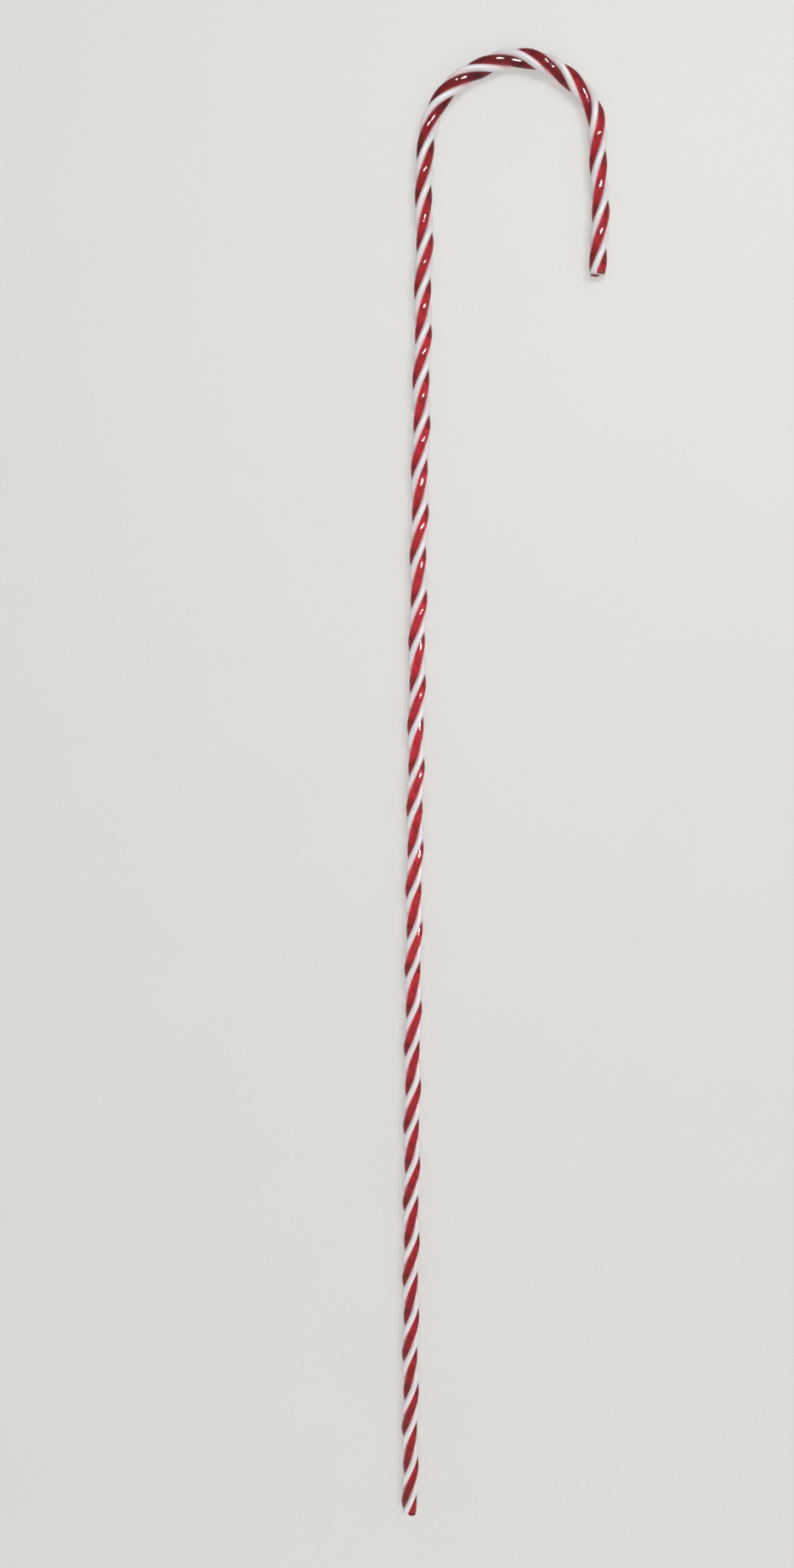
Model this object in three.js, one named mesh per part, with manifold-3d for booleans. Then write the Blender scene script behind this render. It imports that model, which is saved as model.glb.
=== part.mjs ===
// A tall acrylic candy cane: four extruded rods, two clear red and two opal white, laid side by side,
// softened, twisted together to the right until they fuse, and bent into a crook.
// It lies on its back on the floor: foot towards -Y, crook at +Y and open towards +X, shown side up.
// Millimetres, +Z up. The origin is in the middle of the footprint, at floor level.

import * as THREE from "three";
import { LoftGeometry } from "three/addons/geometries/LoftGeometry.js";
import { mergeVertices } from "three/addons/utils/BufferGeometryUtils.js";
import Module from "manifold-3d";

const wasm = await Module();
wasm.setup();

// A rod's section is part of a circle: its lobe outside, and a wedge that reaches in to the core.
// offset is from the rope's axis to the circle's middle, and core to the tip of the wedge.
const redRod = { diameter: 7.1, offset: 3.3, core: 0.6 };
const whiteRod = { diameter: 5.9, offset: 4.25, core: 2.4 };
const seamGap = 0.3; // clearance between neighbouring rods
const sideShift = 0.7; // the bundle sits this far off the axis, so one red rod stands proud
const lobeFacets = 5;

// The centreline, from the sawn foot to the pulled-off tip: stretches of even curvature.
// A positive turn is to the right, towards +X.
const startHeading = -0.45;
const stretches = [
  { length: 1025, turn: 0.95 }, // shaft, very slightly bowed
  { length: 113, turn: -1.35 }, // neck, leaning back a little
  { length: 144.6, turn: 119.2 }, // rising side and top of the crook
  { length: 59, turn: 56.9 }, // its falling side, a little tighter
  { length: 103.6, turn: 5.9 }, // leg, curling in
];
const shaftLength = stretches[0].length + stretches[1].length;

// The twist: one full turn of the rope for each pitch.
const shaftPitch = 68.65;
const crookPitch = 72.65;
const footTwist = 128; // degrees at the foot, from straight across the shaft, growing towards the floor
const twistWander = -9; // degrees of slow swing along the shaft, as of a rope twisted by hand
const stationsPerTurn = 11;

// The floor takes a small flat off each lobe of the proud rod, for the cane to rest on.
const restHeight = 7.2; // of the rope's axis above the floor

const redAcrylic = new THREE.MeshStandardMaterial({ color: 0xa3222c, roughness: 0.06, metalness: 0 });
const whiteAcrylic = new THREE.MeshStandardMaterial({ color: 0xe6e3e4, roughness: 0.12, metalness: 0 });

const radians = THREE.MathUtils.degToRad;

// The centreline as a curve of arcs in the plane z = restHeight. Heading 0 is along +Y.
class Centreline {
  constructor(parts) {
    this.arcs = [];
    this.length = 0;
    let heading = radians(startHeading);
    let from = new THREE.Vector3(0, 0, restHeight);
    for (const { length, turn } of parts) {
      const arc = { start: this.length, from, heading, curvature: radians(turn) / length };
      this.arcs.push(arc);
      this.length += length;
      heading += radians(turn);
      from = this.alongArc(arc, length).position;
    }
  }

  // Place and side direction at a distance along one arc.
  alongArc(arc, distance) {
    const heading = arc.heading + arc.curvature * distance;
    const position = arc.from.clone();
    position.x += (Math.cos(arc.heading) - Math.cos(heading)) / arc.curvature;
    position.y += (Math.sin(heading) - Math.sin(arc.heading)) / arc.curvature;
    return { position, side: new THREE.Vector3(Math.cos(heading), -Math.sin(heading), 0) };
  }

  at(distance) {
    const arc = this.arcs.findLast((one) => one.start <= distance);
    return this.alongArc(arc, distance - arc.start);
  }
}

const centreline = new Centreline(stretches);
const down = new THREE.Vector3(0, 0, -1);

// Angle of the rope's section at a distance from the foot.
function twistAt(distance) {
  const onShaft = Math.min(distance, shaftLength);
  const turns = onShaft / shaftPitch + (distance - onShaft) / crookPitch;
  const wander = radians(twistWander) * Math.sin((2 * Math.PI * onShaft) / shaftLength);
  return radians(footTwist) + 2 * Math.PI * turns + wander;
}

// Distances from the foot of the rings of points.
function stationDistances() {
  const steps = (length, pitch) => Math.round((length / pitch) * stationsPerTurn);
  const onShaft = steps(shaftLength, shaftPitch);
  const pastShaft = steps(centreline.length - shaftLength, crookPitch);
  const step = (centreline.length - shaftLength) / pastShaft;
  const distances = [];
  for (let i = 0; i < onShaft; i++) distances.push((shaftLength * i) / onShaft);
  for (let i = 0; i <= pastShaft; i++) distances.push(shaftLength + step * i);
  return distances;
}

// Where the circles of a red rod on the x axis and a white rod on the y axis cross outside.
function seamPoint() {
  const red = redRod.diameter / 2;
  const white = whiteRod.diameter / 2;
  const span = Math.hypot(redRod.offset, whiteRod.offset);
  const along = (span ** 2 + red ** 2 - white ** 2) / (2 * span);
  const across = Math.sqrt(red ** 2 - along ** 2);
  const towards = new THREE.Vector2(-redRod.offset, whiteRod.offset).divideScalar(span);
  return new THREE.Vector2(
    redRod.offset + along * towards.x + across * towards.y,
    along * towards.y - across * towards.x
  );
}

// One rod's section with its lobe towards +x: points round the lobe from seam to seam, then the core.
function rodSection(rod, seamAngle) {
  const points = [];
  for (let i = 0; i <= lobeFacets; i++) {
    const angle = seamAngle * ((2 * i) / lobeFacets - 1);
    const point = new THREE.Vector2(Math.cos(angle), Math.sin(angle)).multiplyScalar(rod.diameter / 2);
    point.x += rod.offset;
    if (i === 0) point.y += seamGap / 2;
    if (i === lobeFacets) point.y -= seamGap / 2;
    points.push(point);
  }
  points.push(new THREE.Vector2(rod.core, 0));
  return points;
}

// The section turned to its quarter of the rope, carried along the centreline and twisted.
function rodGeometry(section, quarter) {
  const hub = new THREE.Vector2();
  const placed = section.map((point) => point.clone().rotateAround(hub, (quarter * Math.PI) / 2));
  placed.forEach((point) => (point.x += sideShift));
  const rings = stationDistances().map((distance) => {
    const { position, side } = centreline.at(distance);
    return placed.map((point) => {
      const turned = point.clone().rotateAround(hub, twistAt(distance));
      return position.clone().addScaledVector(side, turned.x).addScaledVector(down, turned.y);
    });
  });
  return new LoftGeometry(rings, { capStart: true, capEnd: true });
}

// A closed geometry as a solid that can be cut.
function solidFrom(geometry) {
  const bare = new THREE.BufferGeometry().setAttribute("position", geometry.getAttribute("position"));
  const merged = mergeVertices(bare.setIndex(geometry.index));
  return new wasm.Manifold(
    new wasm.Mesh({
      numProp: 3,
      vertProperties: merged.attributes.position.array,
      triVerts: new Uint32Array(merged.index.array),
    })
  );
}

function geometryFrom(solid) {
  const { vertProperties, triVerts } = solid.getMesh();
  const geometry = new THREE.BufferGeometry();
  geometry.setAttribute("position", new THREE.BufferAttribute(vertProperties, 3));
  geometry.setIndex(new THREE.BufferAttribute(triVerts, 1));
  geometry.computeVertexNormals();
  return geometry;
}

// Everything under the floor, to be cut away.
const slabDepth = 20;
const slab = new THREE.BoxGeometry(1000, 4000, slabDepth).translate(0, 0, -slabDepth / 2);
const belowFloor = solidFrom(slab);

const seam = seamPoint();
const redSection = rodSection(redRod, Math.atan2(seam.y, seam.x - redRod.offset));
const whiteSection = rodSection(whiteRod, Math.atan2(seam.x, seam.y - whiteRod.offset));

const rods = [
  { name: "red_rod_proud", section: redSection, material: redAcrylic },
  { name: "white_rod_left", section: whiteSection, material: whiteAcrylic },
  { name: "red_rod_sunk", section: redSection, material: redAcrylic },
  { name: "white_rod_right", section: whiteSection, material: whiteAcrylic },
];

const cane = new THREE.Group();
cane.name = "candy_cane";
rods.forEach(({ name, section, material }, quarter) => {
  const whole = solidFrom(rodGeometry(section, quarter));
  const rod = new THREE.Mesh(geometryFrom(whole.subtract(belowFloor)), material);
  rod.name = name;
  cane.add(rod);
});

// The footprint's middle goes to the origin.
const footprint = new THREE.Box3().setFromObject(cane, true);
const middle = footprint.getCenter(new THREE.Vector3());
cane.position.set(-middle.x, -middle.y, 0);

export default cane;
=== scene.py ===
import bpy
import numpy as np
from mathutils import Euler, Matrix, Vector


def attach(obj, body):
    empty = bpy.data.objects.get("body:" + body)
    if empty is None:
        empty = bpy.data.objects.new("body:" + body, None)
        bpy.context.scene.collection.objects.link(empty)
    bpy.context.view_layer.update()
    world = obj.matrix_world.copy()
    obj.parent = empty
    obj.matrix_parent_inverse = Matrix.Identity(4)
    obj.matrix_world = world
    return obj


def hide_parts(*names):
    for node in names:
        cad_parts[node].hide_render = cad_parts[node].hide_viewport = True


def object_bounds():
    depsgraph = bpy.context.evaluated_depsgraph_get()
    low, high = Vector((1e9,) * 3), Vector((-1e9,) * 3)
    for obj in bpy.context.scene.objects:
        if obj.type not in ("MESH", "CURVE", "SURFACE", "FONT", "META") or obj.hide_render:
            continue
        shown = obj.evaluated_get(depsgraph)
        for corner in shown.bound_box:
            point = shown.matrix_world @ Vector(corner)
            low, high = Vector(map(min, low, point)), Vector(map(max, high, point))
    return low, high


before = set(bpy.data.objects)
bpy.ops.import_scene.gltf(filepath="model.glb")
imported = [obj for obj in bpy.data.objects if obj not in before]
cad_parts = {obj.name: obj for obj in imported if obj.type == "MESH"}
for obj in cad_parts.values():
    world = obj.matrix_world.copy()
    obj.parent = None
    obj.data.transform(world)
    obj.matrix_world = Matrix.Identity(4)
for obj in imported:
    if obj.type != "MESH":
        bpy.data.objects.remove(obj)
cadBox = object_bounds()
mm = 0.001  # settings are in millimetres and degrees, and Blender's units are metres
print("frame loaded:", ", ".join(sorted(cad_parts)))


# The rope: four rods side by side, twisted to the right about one axis and bent into a crook.
rope = dict(
    restHeight=7.2,  # of the axis above the floor
    startHeading=-0.45,  # 0 is along +Y, and a positive turn is towards +X
    # Each stretch's length and turn, from the foot to the crook's tip.
    stretches=((1025, 0.95), (113, -1.35), (144.6, 119.2), (59, 56.9), (103.6, 5.9)),
    shaftStretches=2,  # how many of those are the shaft
    shaftPitch=68.65,
    crookPitch=72.65,
    footTwist=128,
    twistWander=-9,
    sideShift=0.7,  # the bundle sits off the axis, so one red rod stands proud
)
stretchLengths = [length for length, turn in rope["stretches"]]
shaftLength = sum(stretchLengths[:rope["shaftStretches"]])
ropeLength = sum(stretchLengths)


def centreline(distance):
    # Arcs of even curvature laid end to end: along each one the heading grows in step with the
    # distance, and the place moves by the arc's chord, which is a difference of cosines across and
    # of sines along. Past either end the axis runs straight on.
    x, y, heading = (np.zeros_like(distance) for _ in range(3))
    reached, turned = 0.0, np.radians(rope["startHeading"])
    heading += turned
    for length, turn in rope["stretches"]:
        curvature = np.radians(turn) / length
        bend = curvature * np.clip(distance - reached, 0, length)
        x += (np.cos(turned) - np.cos(turned + bend)) / curvature
        y += (np.sin(turned + bend) - np.sin(turned)) / curvature
        heading += bend
        reached += length
        turned += np.radians(turn)
    beyond = distance - np.clip(distance, 0, ropeLength)
    return x + beyond * np.sin(heading), y + beyond * np.cos(heading), heading


def twist(distance):
    # One turn for each pitch, with its own pitch past the shaft, and a slow swing on the shaft.
    onShaft = np.minimum(distance, shaftLength)
    turns = onShaft / rope["shaftPitch"] + (distance - onShaft) / rope["crookPitch"]
    wander = np.radians(rope["twistWander"]) * np.sin(2 * np.pi * onShaft / shaftLength)
    return np.radians(rope["footTwist"]) + 2 * np.pi * turns + wander


# The rods: softened and squeezed together until they fuse, so only their lobes are still round.
rods = dict(
    redRadius=3.6,  # of the circle that a red rod's lobe follows
    redOffset=3.25,  # of that circle's middle from the rope's axis
    whiteRadius=2.75,
    whiteOffset=4.45,
    fused=0.04,  # how far each rod reaches into its neighbours, so that no air is left between them
    ringsPerTurn=64,
    lobePoints=26,
    sidePoints=8,
    corePoints=5,
    # Uneven drawing makes each rod thicker and thinner, by this at redOffset and twice it outside.
    swell=0.035,
    swellWaves=((37.0, 0.5), (17.3, 0.3), (8.9, 0.2)),  # wavelength, share
    swellPhase=1.7,  # from one rod to the next
    sharpAngle=35,  # edges sharper than this stay crisp
)

ends = dict(
    reach=6,  # of the close rings at each end
    steps=6 * (0,) + (0.015, 0.04, 0.1, 0.25, 0.5, 0.8, 1),  # their places, as shares of the reach
    sizes=(0.02, 0.2, 0.4, 0.6, 0.8, 0.94, 0.985) + 6 * (1,),  # the first ones close the cut
    footSlant=2.5,  # how far the saw cut at the foot is off square
    tipSlant=-4,  # the same for the crook's tip, which is broken off
    tipReach=(0.25, -0.1, -0.35, 0.2),  # how far each rod stands out at the break
    tipRagged=0.18,  # height of the chips on it
    tipFade=4,  # the power by which both fade away from the tip
    chipWaves=(5.1, 3.7),  # radians a millimetre, across and down
)


def seamPoint():
    # The outer crossing of a red circle on the x axis with a white one on the y axis.
    red, white = rods["redRadius"], rods["whiteRadius"]
    span = np.hypot(rods["redOffset"], rods["whiteOffset"])
    along = (span**2 + red**2 - white**2) / (2 * span)
    across = np.sqrt(red**2 - along**2)
    towards = np.array([-rods["redOffset"], rods["whiteOffset"]]) / span
    aside = np.array([towards[1], -towards[0]])
    return np.array([rods["redOffset"], 0]) + along * towards + across * aside


def rodSection(radius, offset, seam):
    # A closed outline with its lobe towards +x: an arc from seam to seam, a straight side in
    # towards the rope's axis, a small arc about that axis and the mirrored side back out.
    slope = np.arctan2(seam[1], seam[0])
    seamAngle = np.arctan2(seam[1], seam[0] - offset) + rods["fused"] / radius
    lobeAngle = np.linspace(-seamAngle, seamAngle, rods["lobePoints"])
    coreAngle = np.linspace(np.pi / 2 + slope, 3 * np.pi / 2 - slope, rods["corePoints"])
    lobe = np.stack([offset + radius * np.cos(lobeAngle), radius * np.sin(lobeAngle)], 1)
    core = rods["fused"] * np.stack([np.cos(coreAngle), np.sin(coreAngle)], 1)
    share = np.linspace(0, 1, rods["sidePoints"] + 2)[1:-1, None]
    side = lobe[-1] + share * (core[0] - lobe[-1])
    return np.concatenate([lobe, side, core, side[::-1] * (1, -1)])


def ringDistances():
    # Rings at even steps of the twist, and a few close ones that round the ends.
    count = int(ropeLength / rope["shaftPitch"] * rods["ringsPerTurn"])
    whole = np.linspace(0, ropeLength, count)
    inner = whole[(whole > ends["reach"]) & (whole < ropeLength - ends["reach"])]
    near = ends["reach"] * np.array(ends["steps"])
    return np.concatenate([near, inner, ropeLength - near[::-1]])


def sweptRod(section, quarter, distance):
    # The section turned to its quarter, carried along the centreline and twisted. It swells by a
    # sum of sines of the distance, each shifted by its own wavelength and from rod to rod. At each
    # end the rings shrink to the section's own middle and lean with the cut, and at the tip a
    # product of sines across and down the rope makes the break uneven.
    angle = quarter * np.pi / 2
    turned = section @ np.array([[np.cos(angle), np.sin(angle)], [-np.sin(angle), np.cos(angle)]])
    size = np.ones(len(distance))
    count = len(ends["sizes"])
    size[:count] = ends["sizes"]
    size[-count:] = ends["sizes"][::-1]
    phase = rods["swellPhase"] * quarter
    waves = sum(share * np.sin(2 * np.pi * distance / length + phase + length)
                for length, share in rods["swellWaves"])
    swell = 1 + rods["swell"] * waves / rods["redOffset"]
    middle = turned.mean(0)
    placed = middle + size[:, None, None] * (turned - middle)
    placed = placed * swell[:, None, None] + (rope["sideShift"], 0)
    spin = twist(distance)[:, None]
    side = placed[..., 0] * np.cos(spin) - placed[..., 1] * np.sin(spin)
    down = placed[..., 0] * np.sin(spin) + placed[..., 1] * np.cos(spin)
    fromFoot = np.clip(1 - distance / ends["reach"], 0, 1)[:, None]
    fromTip = np.clip(1 - (ropeLength - distance) / ends["reach"], 0, 1)[:, None]
    widest = rods["redOffset"] + rods["redRadius"] + rope["sideShift"]
    lean = fromFoot * np.tan(np.radians(ends["footSlant"])) * (widest - side)
    lean += fromTip * np.tan(np.radians(ends["tipSlant"])) * (widest + side)
    chipsAcross, chipsDown = ends["chipWaves"]
    chips = np.sin(chipsAcross * side + quarter) * np.sin(chipsDown * down + 2 * quarter)
    lean += fromTip**ends["tipFade"] * (ends["tipReach"][quarter] + ends["tipRagged"] * chips)
    x, y, heading = centreline(distance[:, None] + lean)
    return np.stack([
        x + side * np.cos(heading),
        y - side * np.sin(heading),
        rope["restHeight"] - down,
    ], 2)


alongRod, roundLobe, fromCut = 0, 1, 2  # the parts of a point's place on its rod


def rodPlaces(section, distance):
    # For each point: how far it is along the rod, how far round from the lobe's middle, and how far
    # from the nearest cut, all in millimetres. The materials' patterns follow it.
    steps = np.linalg.norm(np.diff(section, axis=0), axis=1)
    around = np.concatenate([[0], np.cumsum(steps)])
    around -= around[rods["lobePoints"] - 1] / 2
    fromEnd = np.minimum(distance, ropeLength - distance)
    along, rounds = np.meshgrid(distance, around, indexing="ij")
    return np.stack([along, rounds, np.broadcast_to(fromEnd[:, None], along.shape)], 2)


def gridMesh(name, grid, places, move):
    # A closed tube of quads from a grid of rings, with a face over the small last ring at each end.
    # What would reach under the floor is pressed flat on it.
    rings, points = grid.shape[:2]
    vertices = (grid.reshape(-1, 3) + move) * mm
    vertices[:, 2] = np.maximum(vertices[:, 2], 0)
    ring, point = np.meshgrid(np.arange(rings - 1), np.arange(points), indexing="ij")
    after = (point + 1) % points
    here = ring * points
    quads = np.stack([here + point, here + after, here + points + after, here + points + point], 2)
    firstCap = np.arange(points)[::-1]
    lastCap = np.arange(points) + (rings - 1) * points
    mesh = bpy.data.meshes.new(name)
    faces = quads.reshape(-1, 4).tolist() + [firstCap.tolist(), lastCap.tolist()]
    mesh.from_pydata(vertices.tolist(), [], faces)
    rodPlace = mesh.attributes.new("rodPlace", "FLOAT_VECTOR", "POINT")
    rodPlace.data.foreach_set("vector", places.astype(np.float32).ravel())
    mesh.update()
    return mesh


def linearColour(hexColour):
    channel = np.array([int(hexColour[i:i + 2], 16) for i in (1, 3, 5)]) / 255
    linear = np.where(channel <= 0.04045, channel / 12.92, ((channel + 0.055) / 1.055) ** 2.4)
    return (*linear.tolist(), 1.0)


def addNode(tree, kind, settings=None, links=None):
    # Settings in small letters are the node's own, and the others are its sockets, by name or
    # number. A Mix node's two colours are its inputs 6 and 7, and its result is output 2.
    node = tree.nodes.new(kind)
    for name, value in (settings or {}).items():
        if isinstance(name, str) and name.islower():
            setattr(node, name, value)
        else:
            node.inputs[name].default_value = value
    for name, socket in (links or {}).items():
        tree.links.new(socket, node.inputs[name])
    return node


def newMaterial(name):
    material = bpy.data.materials.new(name)
    material.use_nodes = True
    material.node_tree.nodes.clear()
    return material, material.node_tree


def rodPattern(tree, place, pattern):
    # Noise drawn out along the rod. A pattern is its marks' length along the rod, their width
    # round it, and the two noise values that are made 0 and 1.
    length, width, low, high = pattern
    scale = (1 / length, 1 / width, 0)
    stretched = addNode(tree, "ShaderNodeMapping", {"Scale": scale}, {"Vector": place})
    noise = addNode(tree, "ShaderNodeTexNoise", {"Scale": 1.0}, {"Vector": stretched.outputs[0]})
    return addNode(tree, "ShaderNodeMapRange", {"From Min": low, "From Max": high},
                   {"Value": noise.outputs[0]}).outputs[0]


def shareAway(tree, place, part, middle, start, end):
    # How far one part of the place is from a middle value, as its share of the way from start to
    # end.
    parts = addNode(tree, "ShaderNodeSeparateXYZ", links={0: place})
    past = addNode(tree, "ShaderNodeMath", {"operation": "SUBTRACT", 1: middle},
                   {0: parts.outputs[part]})
    away = addNode(tree, "ShaderNodeMath", {"operation": "ABSOLUTE"}, {0: past.outputs[0]})
    return addNode(tree, "ShaderNodeMapRange", {"From Min": start, "From Max": end},
                   {"Value": away.outputs[0]}).outputs[0]


def surfaceMarks(tree, place, marks):
    # Extrusion and handling leave two kinds of relief on acrylic rod: fine straight lines drawn
    # along it by the die, and low waves across it from the heating and twisting by hand.
    lines = rodPattern(tree, place, marks["lines"])
    waves = rodPattern(tree, place, marks["waves"])
    relief = addNode(tree, "ShaderNodeBump", {"Distance": marks["lineHeight"] * mm},
                     {"Height": lines})
    return addNode(tree, "ShaderNodeBump", {"Distance": marks["waveHeight"] * mm},
                   {"Height": waves, "Normal": relief.outputs[0]}).outputs[0]


def surfaceGloss(tree, place, marks, cut):
    # Glossy, a little duller in long smudges from handling, and matt where it was cut.
    smudges = rodPattern(tree, place, marks["smudges"])
    polished, smudged, sawn = marks["roughness"]
    rod = addNode(tree, "ShaderNodeMapRange", {"To Min": polished, "To Max": smudged},
                  {"Value": smudges})
    return addNode(tree, "ShaderNodeMapRange", {"To Max": sawn},
                   {"Value": cut, "To Min": rod.outputs[0]}).outputs[0]


redMarks = dict(
    lines=(60, 0.6, 0.35, 0.65),  # real die lines are 0.1 mm apart: drawn coarser so that they show
    lineHeight=0.0015,
    waves=(3.2, 4.5, 0.25, 0.75),
    waveHeight=0.05,
    dyeStreaks=(26, 1.3, 0.4, 0.62),
    smudges=(30, 9, 0.5, 0.8),
    roughness=(0.055, 0.09, 0.55),  # polished, smudged, sawn
    clear="#df636a",
    dense="#c2464d",  # in the streaks
    # painted shade: the red towards both ends of the cane
    endShadeColour="#aa454b",
    litMiddleAt=660,  # from the foot: lightest here, with painted shade towards both ends
    endShadeFrom=100,  # to either side of that place
    endShadeTo=400,
    bend="#ccbcc1",  # painted shade on the crook: multiplies the colour
    crookShadeAt=1190,  # from the foot: the middle of the painted shade, where the crook starts
    crookShadeFrom=105,
    crookShadeTo=45,
    # painted shade: the red painted darker along its seams with the white rods
    seam="#d4454f",
    seamShadeFrom=3.4,  # round the lobe: painted shade for thin edges seen end on, through more dye
    seamShadeTo=5.6,
    cut="#98303a",
    cutFrom=0.5,  # of the cut face
    cutTo=0.125,
    refraction=1.49,
    through=0.94,  # share of the light that passes, the rest being scattered at the surface
    edge="#ff6a50",  # light that runs along inside the rod comes out at its edges
    edgeLight=0.35,
    edgeSoftness=0.3,
    dye="#d75d99",  # what the dye lets by of each colour
    dyeDensity=185,
)


def redAcrylic(marks):
    # Extruded acrylic with a clear red dye: glossy as drawn from the die, and seen through to the
    # opal rods behind, so it is bright where it is thin and dark where it is deep.
    material, tree = newMaterial("clearRedExtrudedAcrylic")
    place = addNode(tree, "ShaderNodeAttribute", {"attribute_name": "rodPlace"}).outputs["Vector"]
    # the share of painted shade towards both ends of the cane
    endShadeMask = shareAway(tree, place, alongRod, marks["litMiddleAt"], marks["endShadeFrom"], marks["endShadeTo"])
    # the share of painted shade on the crook
    crookShadeMask = shareAway(tree, place, alongRod, marks["crookShadeAt"], marks["crookShadeFrom"], marks["crookShadeTo"])
    # the share of painted shade along the seams
    seamShadeAndGlow = shareAway(tree, place, roundLobe, 0, marks["seamShadeFrom"], marks["seamShadeTo"])
    cut = shareAway(tree, place, fromCut, 0, marks["cutFrom"], marks["cutTo"])
    streaks = rodPattern(tree, place, marks["dyeStreaks"])
    # Painted shade: the red is mixed darker towards both ends of the cane.
    clear = addNode(tree, "ShaderNodeMix", {
        "data_type": "RGBA", 6: linearColour(marks["clear"]), 7: linearColour(marks["endShadeColour"]),
    }, {0: endShadeMask})
    streaked = addNode(tree, "ShaderNodeMix", {
        "data_type": "RGBA", 7: linearColour(marks["dense"]),
    }, {0: streaks, 6: clear.outputs[2]})
    # Painted shade: darker towards the seams with the white rods.
    seamShaded = addNode(tree, "ShaderNodeMix", {
        "data_type": "RGBA", 7: linearColour(marks["seam"]),
    }, {0: seamShadeAndGlow, 6: streaked.outputs[2]})
    # Painted shade: the colour is multiplied darker on the crook.
    crookShaded = addNode(tree, "ShaderNodeMix", {
        "data_type": "RGBA", "blend_type": "MULTIPLY", 7: linearColour(marks["bend"]),
    }, {0: crookShadeMask, 6: seamShaded.outputs[2]})
    colour = addNode(tree, "ShaderNodeMix", {
        "data_type": "RGBA", 7: linearColour(marks["cut"]),
    }, {0: cut, 6: crookShaded.outputs[2]})
    shader = addNode(tree, "ShaderNodeBsdfPrincipled", {
        "IOR": marks["refraction"], "Transmission Weight": marks["through"],
        "Sheen Tint": linearColour(marks["edge"]), "Sheen Weight": marks["edgeLight"],
        "Sheen Roughness": marks["edgeSoftness"],
    }, {
        "Base Color": colour.outputs[2],
        "Roughness": surfaceGloss(tree, place, marks, cut),
        "Normal": surfaceMarks(tree, place, marks),
    })
    depth = addNode(tree, "ShaderNodeVolumeAbsorption",
                    {"Color": linearColour(marks["dye"]), "Density": marks["dyeDensity"]})
    addNode(tree, "ShaderNodeOutputMaterial",
            links={"Surface": shader.outputs[0], "Volume": depth.outputs[0]})
    return material


whiteMarks = dict(
    lines=(60, 0.6, 0.35, 0.65),
    lineHeight=0.004,
    waves=(4.5, 4.5, 0.25, 0.75),
    waveHeight=0.02,
    pigmentStreaks=(40, 1.6, 0.4, 0.65),
    smudges=(30, 9, 0.5, 0.8),
    roughness=(0.42, 0.52, 0.6),  # polished, smudged, sawn
    opal="#e5e2e4",
    thin="#dcd9dc",
    # painted light: the pink glow of the red rods, painted along the seams
    glow="#e8d5d6",
    pinkGlowFrom=2.6,  # round the lobe, where the painted pink glow of the red rods begins
    pinkGlowTo=3.5,
    cut="#dedadb",
    cutFrom=0.5,
    cutTo=0.125,
    refraction=1.49,
    gloss=0.4,
    lightReach=1.2,  # how far light spreads inside
    lightSpread=(1.0, 0.95, 0.95),
    lightShare=0.5,
)


def whiteAcrylic(marks):
    # Extruded acrylic with a fine white pigment: light goes a little way in and comes out again, so
    # its shading is soft. A pink glow from the red rods is painted on along the seams.
    material, tree = newMaterial("opalWhiteExtrudedAcrylic")
    place = addNode(tree, "ShaderNodeAttribute", {"attribute_name": "rodPlace"}).outputs["Vector"]
    # the share of painted pink glow along the seams
    seamShadeAndGlow = shareAway(tree, place, roundLobe, 0, marks["pinkGlowFrom"], marks["pinkGlowTo"])
    cut = shareAway(tree, place, fromCut, 0, marks["cutFrom"], marks["cutTo"])
    pigment = addNode(tree, "ShaderNodeMix", {
        "data_type": "RGBA", 6: linearColour(marks["opal"]), 7: linearColour(marks["thin"]),
    }, {0: rodPattern(tree, place, marks["pigmentStreaks"])})
    # Painted light: a pink glow painted along the seams with the red rods.
    pinkGlowPainted = addNode(tree, "ShaderNodeMix", {
        "data_type": "RGBA", 7: linearColour(marks["glow"]),
    }, {0: seamShadeAndGlow, 6: pigment.outputs[2]})
    colour = addNode(tree, "ShaderNodeMix", {
        "data_type": "RGBA", 7: linearColour(marks["cut"]),
    }, {0: cut, 6: pinkGlowPainted.outputs[2]})
    shader = addNode(tree, "ShaderNodeBsdfPrincipled", {
        "IOR": marks["refraction"], "Specular IOR Level": marks["gloss"],
        "Subsurface Weight": marks["lightShare"], "Subsurface Radius": marks["lightSpread"],
        "Subsurface Scale": marks["lightReach"] * mm,
    }, {
        "Base Color": colour.outputs[2],
        "Roughness": surfaceGloss(tree, place, marks, cut),
        "Normal": surfaceMarks(tree, place, marks),
    })
    addNode(tree, "ShaderNodeOutputMaterial", links={"Surface": shader.outputs[0]})
    return material


def placeObject(name, data):
    made = bpy.data.objects.new(name, data)
    bpy.context.scene.collection.objects.link(made)
    return made


seam = seamPoint()
redSection = rodSection(rods["redRadius"], rods["redOffset"], seam)
whiteSection = rodSection(rods["whiteRadius"], rods["whiteOffset"], seam[::-1])
red, white = redAcrylic(redMarks), whiteAcrylic(whiteMarks)
pieces = (
    ("redRodProud", "red_rod_proud", "red_acrylic", red),
    ("whiteRodLeft", "white_rod_left", "white_acrylic", white),
    ("redRodSunk", "red_rod_sunk", "red_acrylic", red),
    ("whiteRodRight", "white_rod_right", "white_acrylic", white),
)
sections = (redSection, whiteSection, redSection, whiteSection)
distances = ringDistances()
grids = [sweptRod(section, quarter, distances) for quarter, section in enumerate(sections)]
points = np.concatenate([grid.reshape(-1, 3) for grid in grids])
low, high = (np.array(corner) / mm for corner in cadBox)
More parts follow.
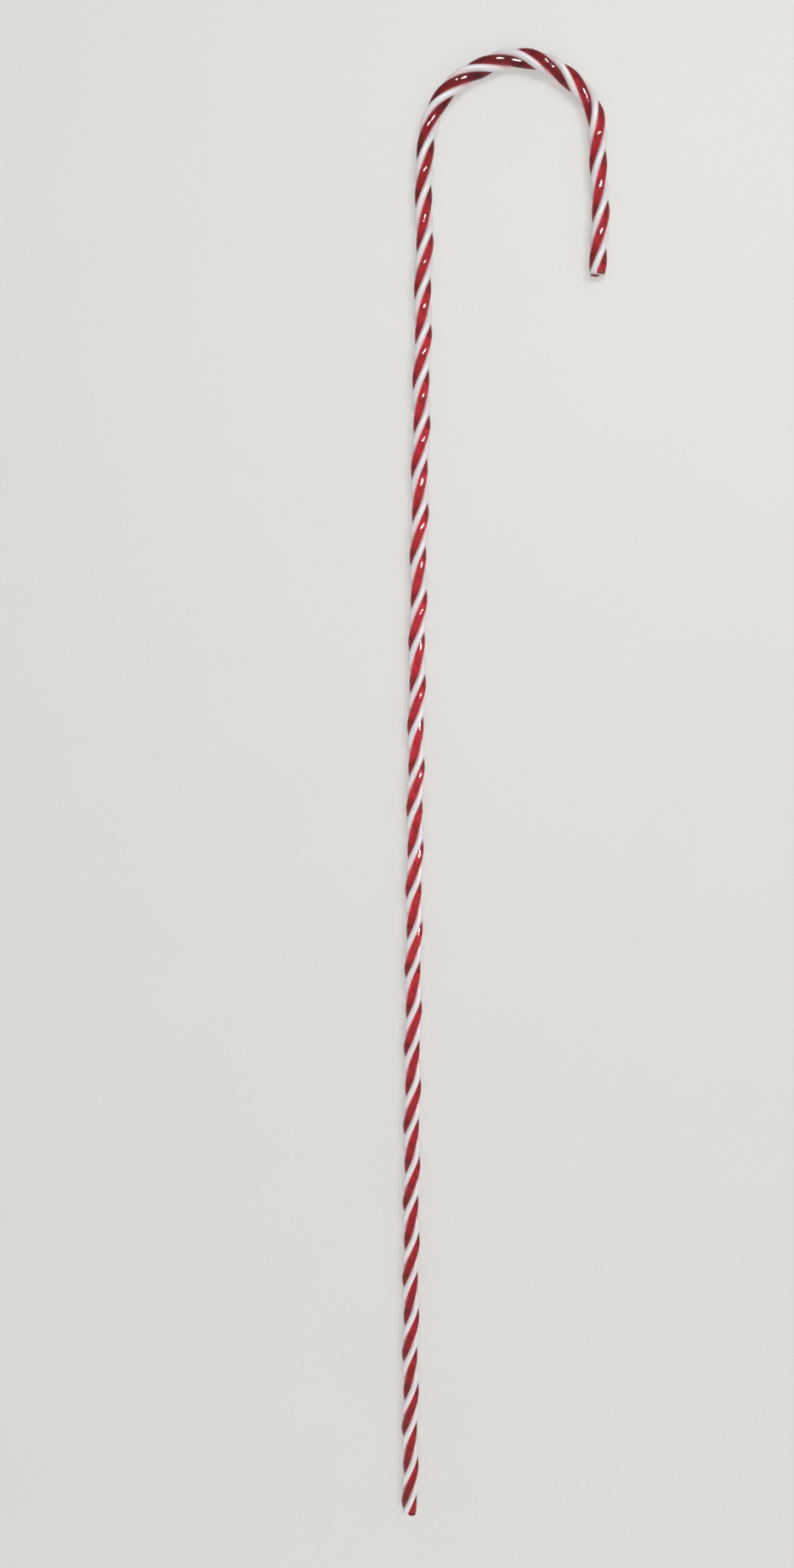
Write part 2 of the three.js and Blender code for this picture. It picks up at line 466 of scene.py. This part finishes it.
# The rope's middle goes to the CAD model's, and its height stays.
move = (low + high) / 2 - (points.min(0) + points.max(0)) / 2
move[2] = 0
for grid, section, (name, node, slot, material) in zip(grids, sections, pieces):
    mesh = gridMesh(name, grid, rodPlaces(section, distances), move)
    mesh.materials.append(material)
    mesh.shade_smooth()
    mesh.set_sharp_from_angle(angle=np.radians(rods["sharpAngle"]))
    rod = placeObject(name, mesh)
    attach(rod, "root")
    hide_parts(node)
    print("rod made:", name, len(mesh.polygons), "faces")


floorMarks = dict(
    half=30000,  # of its side
    below=0.1,  # the rods, so that they don't share a plane with it
    pale="#949290",
    dull="#908f8c",
    patch=90,  # across one uneven patch
    stipple=2.2,  # roller stipple is nearer 1 mm, and is drawn coarser so that it shows
    stippleHeight=0.08,
    roughness=0.7,
    glow="#fffdfa",
    glowStrength=0.4,  # faint, so that some light comes through the clear rods from behind
)


def paleFloor(marks):
    # Matt emulsion rolled on a light board: almost even, with a faint stipple from the roller.
    material, tree = newMaterial("rolledMattePaint")
    where = addNode(tree, "ShaderNodeTexCoord").outputs["Object"]
    patches = addNode(tree, "ShaderNodeTexNoise", {"Scale": 1 / (marks["patch"] * mm)},
                      {"Vector": where})
    stipple = addNode(tree, "ShaderNodeTexNoise", {"Scale": 1 / (marks["stipple"] * mm)},
                      {"Vector": where})
    colour = addNode(tree, "ShaderNodeMix", {
        "data_type": "RGBA", 6: linearColour(marks["pale"]), 7: linearColour(marks["dull"]),
    }, {0: patches.outputs[0]})
    relief = addNode(tree, "ShaderNodeBump", {"Distance": marks["stippleHeight"] * mm},
                     {"Height": stipple.outputs[0]})
    shader = addNode(tree, "ShaderNodeBsdfPrincipled", {
        "Roughness": marks["roughness"], "Emission Color": linearColour(marks["glow"]),
        "Emission Strength": marks["glowStrength"],
    }, {"Base Color": colour.outputs[2], "Normal": relief.outputs[0]})
    addNode(tree, "ShaderNodeOutputMaterial", links={"Surface": shader.outputs[0]})
    return material


reach, level = floorMarks["half"] * mm, -floorMarks["below"] * mm
floorMesh = bpy.data.meshes.new("floor")
corners = [(x * reach, y * reach, level) for x, y in ((-1, -1), (1, -1), (1, 1), (-1, 1))]
floorMesh.from_pydata(corners, [], [(0, 1, 2, 3)])
floorMesh.materials.append(paleFloor(floorMarks))
placeObject("floor", floorMesh)
print("floor laid")


view = dict(place=(-41.9, 147.6, 970.4), turned=(-6.382, 2.577, 0.490), lens=27.04, sensor=36)
cameraData = bpy.data.cameras.new("camera")
cameraData.sensor_fit = "VERTICAL"
cameraData.sensor_height = view["sensor"]
cameraData.lens = view["lens"]
camera = placeObject("camera", cameraData)
camera.location = Vector(view["place"]) * mm
camera.rotation_euler = Euler(np.radians(view["turned"]).tolist())
bpy.context.scene.camera = camera


# Two small lamps far off give the paired glints, and the soft boxes light the rest. They are in
# metres and watts.
lamps = dict(
    tubeNear=dict(across=4, up=27, distance=3.0, width=0.25, height=0.35, power=105, glints=True),
    tubeFar=dict(across=26, up=27, distance=3.3, width=0.25, height=0.35, power=120, glints=True),
    softBox=dict(across=22, up=22, distance=6.0, width=4.0, height=4.0, power=135, glints=False),
    fillBox=dict(across=5, up=-35, distance=3.5, width=2.5, height=2.5, power=46, glints=False),
)


def areaLight(name, lamp):
    # A lamp that faces the cane: across and up are its direction's angles from straight above.
    across, up = np.tan(np.radians((lamp["across"], lamp["up"])))
    direction = Vector((across, up, 1)).normalized()
    data = bpy.data.lights.new(name, "AREA")
    data.shape = "RECTANGLE"
    data.size, data.size_y = lamp["width"], lamp["height"]
    data.energy = lamp["power"]
    light = placeObject(name, data)
    light.location = direction * lamp["distance"]
    light.rotation_euler = direction.to_track_quat("Z", "Y").to_euler()
    light.visible_glossy = lamp["glints"]
    light.visible_diffuse = light.visible_transmission = not lamp["glints"]


for name, lamp in lamps.items():
    areaLight(name, lamp)
room = dict(colour="#eceae8", strength=0.5)
world = bpy.data.worlds.new("room")
world.use_nodes = True
background = world.node_tree.nodes["Background"]
background.inputs["Color"].default_value = linearColour(room["colour"])
background.inputs["Strength"].default_value = room["strength"]
bpy.context.scene.world = world
bpy.context.scene.view_settings.view_transform = "Standard"
print("camera and lamps set")
